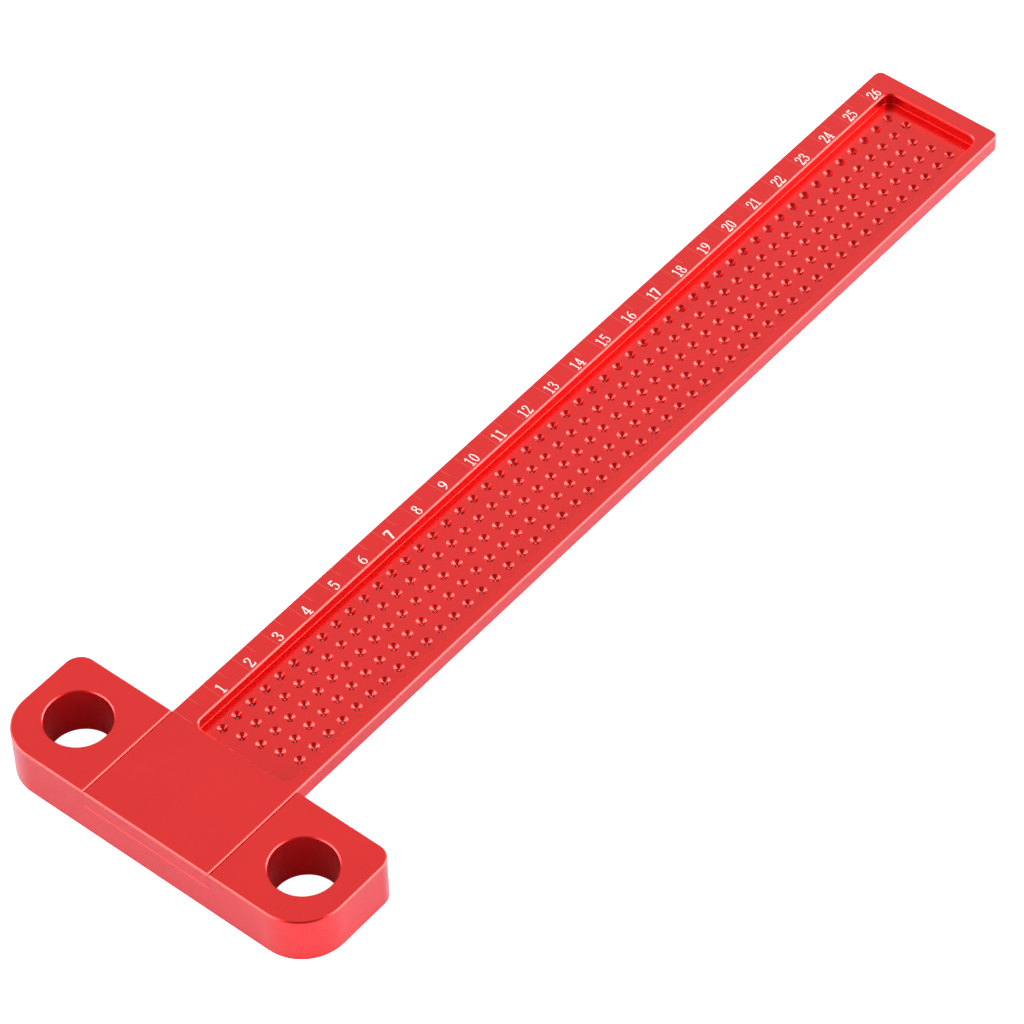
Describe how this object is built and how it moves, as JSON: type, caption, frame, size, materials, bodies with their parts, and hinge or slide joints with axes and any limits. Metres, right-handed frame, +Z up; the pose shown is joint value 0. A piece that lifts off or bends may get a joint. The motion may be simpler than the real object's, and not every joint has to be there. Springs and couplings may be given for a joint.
{
  "type": "marking t-square",
  "caption": "Woodworking T-square: a recessed blade with a staggered grid of pencil holes and an edge scale, let into a fence block with finger holes.",
  "frame": {"origin": "on the fence face of the stock, in the middle of the blade's width, level with the blade's underside", "axes": "+Y out of the fence along the blade to its tip, +Z up out of the blade's top, +X across the blade away from the scale"},
  "size_m": [0.0966, 0.301, 0.0138],
  "materials": {
    "blade": "satin red anodised",
    "stock": "satin red anodised",
    "screws": "black oxide",
    "numerals": "white screen-printed paint"
  },
  "bodies": {
    "root": {"blade": "blade", "stock": "stock", "screw_front_left": "screws", "screw_front_right": "screws", "screw_rear_left": "screws", "screw_rear_right": "screws"}
  },
  "joints": []
}
